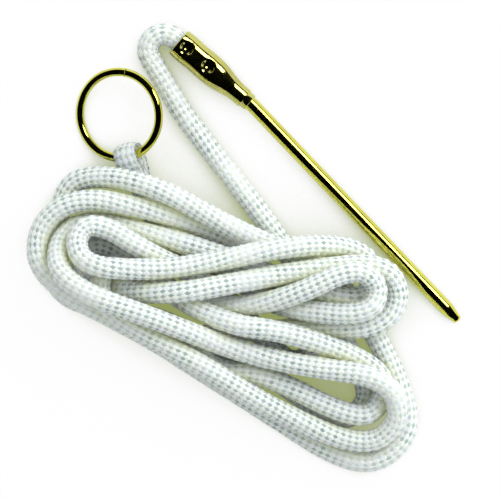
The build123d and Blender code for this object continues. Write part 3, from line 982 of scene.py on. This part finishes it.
def ferrule_mesh(sides=128):
    """The ferrule's wall as rings round its axis: out along the outside, back along the bore."""
    cone_end = FERRULE_BARREL + FERRULE_CONE
    collar = cone_end + FERRULE_NECK
    neck_r = FERRULE_NECK_D / 2
    collar_r = FERRULE_COLLAR_D / 2
    hole_r = NEEDLE_D / 2 + NEEDLE_FIT
    head_r = NEEDLE_HEAD_D / 2 + NEEDLE_FIT
    shoulder = FERRULE_BARREL + NEEDLE_HEAD + NEEDLE_FIT
    lip = np.linspace(0, FERRULE_LIP, 4)[:-1]
    outer = np.concatenate([lip, np.linspace(FERRULE_LIP, cone_end, 150)])
    narrowed = eased((outer - FERRULE_BARREL + CONE_EASE) / (FERRULE_CONE + CONE_EASE))
    outer_r = ferrule_radius - (ferrule_radius - neck_r) * narrowed
    outer_r = outer_r - FERRULE_LIP * np.clip(1 - outer / FERRULE_LIP, 0, 1) ** 2
    tail = [
        # the neck, and the step down to the collar
        (cone_end + 0.3, neck_r),
        (collar - 0.1, neck_r),
        (collar + 0.1, neck_r - 0.08),
        (collar + 0.35, collar_r),
        # the collar's rounded end
        (ferrule_length - FERRULE_LIP, collar_r),
        (ferrule_length - 0.08, collar_r - 0.1),
        (ferrule_length, collar_r - FERRULE_LIP),
        # the hole for the rod, and the seat of its head
        (ferrule_length, hole_r + NEEDLE_FIT),
        (ferrule_length - FERRULE_LIP, hole_r),
        (shoulder + NEEDLE_FIT, hole_r),
        (shoulder, head_r),
        (FERRULE_BARREL, head_r),
    ]
    bore = np.linspace(FERRULE_BARREL - BORE_STEP, 0, 60)
    along = np.concatenate([outer, [s for s, _ in tail], bore])
    radius = np.concatenate([outer_r, [r for _, r in tail], np.full(len(bore), FERRULE_BORE / 2)])
    outside = np.arange(len(along)) < len(outer)
    angle = 2 * np.pi * np.arange(sides) / sides
    round_way = np.cos(angle)[:, None] * beside_barrel + np.sin(angle)[:, None] * UP
    power = 2 + CRIMP_FLAT * (1 - eased((along - FERRULE_BARREL) / FERRULE_CONE)) * outside
    squared = np.abs(np.cos(angle)) ** power[:, None] + np.abs(np.sin(angle)) ** power[:, None]
    reach = radius[:, None] * squared ** (-1 / power[:, None])
    from_top = (angle + np.pi / 2) % (2 * np.pi) - np.pi
    dent = np.zeros((len(along), sides))
    for place in DIMPLES:
        away = np.hypot(along[:, None] - place, from_top[None, :] * ferrule_radius)
        cap = 1 - (away / DIMPLE_R) ** 2
        deep = DIMPLE_DEPTH * (cap + np.sqrt(cap**2 + DIMPLE_RIM**2)) / 2
        beside = np.exp(-(((along[:, None] - place) / CRIMP_RUN) ** 2)) * np.cos(angle[None, :]) ** 4
        dent += np.where(outside[:, None], deep - CRIMP_BULGE * beside, DIMPLE_INSIDE * deep)
    in_bore = np.arange(len(along)) >= len(along) - len(bore)
    reach = reach - np.where((outside | in_bore)[:, None], dent, 0.0)
    rings = mouth + along[:, None, None] * barrel_way + reach[..., None] * round_way[None]
    return ring_by_ring("ferrule", rings, closed=True)


ferrule = make_piece("crimped_ferrule", ferrule_mesh(), dark_brass)
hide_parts("ferrule")
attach(ferrule, "needle")


# The needle: its head in the ferrule, a slight bend past the collar, a blunt tapered tip
collar_end = mouth + barrel_way * ferrule_length
rod_run = NEEDLE_LENGTH - COLLAR_CLEAR - TIP_TAPER
dip = math.asin((ferrule_radius - NEEDLE_D / 2) / rod_run)
rod_way = heading(NEEDLE_HEADING) * math.cos(dip) - UP * math.sin(dip)
bend_at = collar_end + barrel_way * COLLAR_CLEAR
head_from = mouth + barrel_way * FERRULE_BARREL
tip = bend_at + rod_way * (rod_run + TIP_TAPER)


def needle_mesh(sides=64):
    """The rod as rings along its line, closed at head and tip."""
    bend_reach = 0.7
    head_edge = 0.12
    row_gap = 0.4  # before the first and after the last row of the plain rod
    head_hub = 0.02  # radii of the small faces that close the ends
    tip_hub = 0.01
    taper_ease = 1.2
    nose_power = 2.4
    control = [head_from, bend_at - barrel_way * bend_reach, bend_at, bend_at + rod_way * bend_reach, tip]
    line = spline_line(np.array(control) * MM) / MM
    total = lengths(line)[-1]
    taper = total - TIP_TAPER
    knee = total - TIP_ROUND
    nose = TIP_ROUND * (1 - np.cos(np.linspace(0, np.pi / 2, 9)))[::-1]
    wanted = np.concatenate(
        [
            [0.0, 0.0, head_edge, NEEDLE_HEAD - head_edge, NEEDLE_HEAD, NEEDLE_HEAD],
            np.linspace(NEEDLE_HEAD + row_gap, taper - row_gap, 120),
            np.linspace(taper, knee, 24)[:-1],
            total - nose,
        ]
    )
    rod_r = NEEDLE_D / 2
    sunk = (wanted - taper) / (TIP_TAPER - TIP_ROUND)
    reach = rod_r - (rod_r - TIP_D / 2) * eased(np.clip(sunk, 0, 1) ** taper_ease)
    end = np.clip((wanted - knee) / TIP_ROUND, 0, 1)
    reach = np.where(end > 0, TIP_D / 2 * np.sqrt(np.maximum(1 - end**nose_power, 0.0)), reach)
    head_r = NEEDLE_HEAD_D / 2
    reach[:6] = [head_hub, head_r - head_edge, head_r, head_r, head_r - head_edge, rod_r]
    reach[-1] = tip_hub
    middles = at_lengths(line, wanted)
    past_bend = 0.16 * total  # along the line, a little after the rod's bend
    ahead = unit(np.where(wanted[:, None] < past_bend, barrel_way, rod_way))
    side = unit(np.cross(UP, ahead))
    lift = np.cross(ahead, side)
    angle = 2 * np.pi * np.arange(sides) / sides
    rings = middles[:, None] + reach[:, None, None] * (
        np.cos(angle)[None, :, None] * side[:, None] + np.sin(angle)[None, :, None] * lift[:, None]
    )
    return ring_by_ring("needle", rings, closed=False)


needle = make_piece("needle_rod", needle_mesh(), bright_brass)
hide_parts("needle")
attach(needle, "needle")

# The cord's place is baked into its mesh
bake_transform(cord)


# Floor, light and camera
VIEW_MIDDLE = (-5.5, -20.6)  # of the picture, on the floor
VIEW_WIDTH = 140.0
VIEW_HEIGHT = 1600.0
SENSOR = 36.0
FRAMED_LEVEL = 6.0  # height at which the picture has its width
FLOOR_REACH = 3.0  # metres, as the lamp's sizes
WORLD_LIGHT = 0.92
LAMP_TOWARD = (0.5, 0.46, 0.74)
LAMP_DISTANCE = 0.8
LAMP_SIZE = (0.3, 0.36)
LAMP_POWER = 2.1

floor_mesh = bpy.data.meshes.new("floor")
floor_corners = [(x * FLOOR_REACH, y * FLOOR_REACH, 0) for x, y in ((-1, -1), (1, -1), (1, 1), (-1, 1))]
floor_mesh.from_pydata(floor_corners, [], [(0, 1, 2, 3)])
floor_mesh.materials.append(floor_finish())
floor = bpy.data.objects.new("floor", floor_mesh)
scene.collection.objects.link(floor)

scene.view_settings.view_transform = "Standard"
scene.world = studio_world(WORLD_LIGHT)

# One soft lamp from the right and the back, facing the hank
key_light = bpy.data.lights.new("key", "AREA")
key_light.shape = "RECTANGLE"
key_light.size, key_light.size_y = LAMP_SIZE
key_light.energy = LAMP_POWER
lamp = bpy.data.objects.new("key", key_light)
lamp_way = Vector(LAMP_TOWARD).normalized()
lamp.location = Vector((VIEW_MIDDLE[0] * MM, VIEW_MIDDLE[1] * MM, 0)) + lamp_way * LAMP_DISTANCE
lamp.rotation_mode = "QUATERNION"
lamp.rotation_quaternion = lamp_way.to_track_quat("Z", "Y")
lamp.visible_camera = False
scene.collection.objects.link(lamp)

view = bpy.data.cameras.new("camera")
view.sensor_width = SENSOR
view.lens = SENSOR * (VIEW_HEIGHT - FRAMED_LEVEL) / VIEW_WIDTH
view.clip_end = 10  # metres
camera = bpy.data.objects.new("camera", view)
camera.location = (VIEW_MIDDLE[0] * MM, VIEW_MIDDLE[1] * MM, VIEW_HEIGHT * MM)
scene.collection.objects.link(camera)
scene.camera = camera
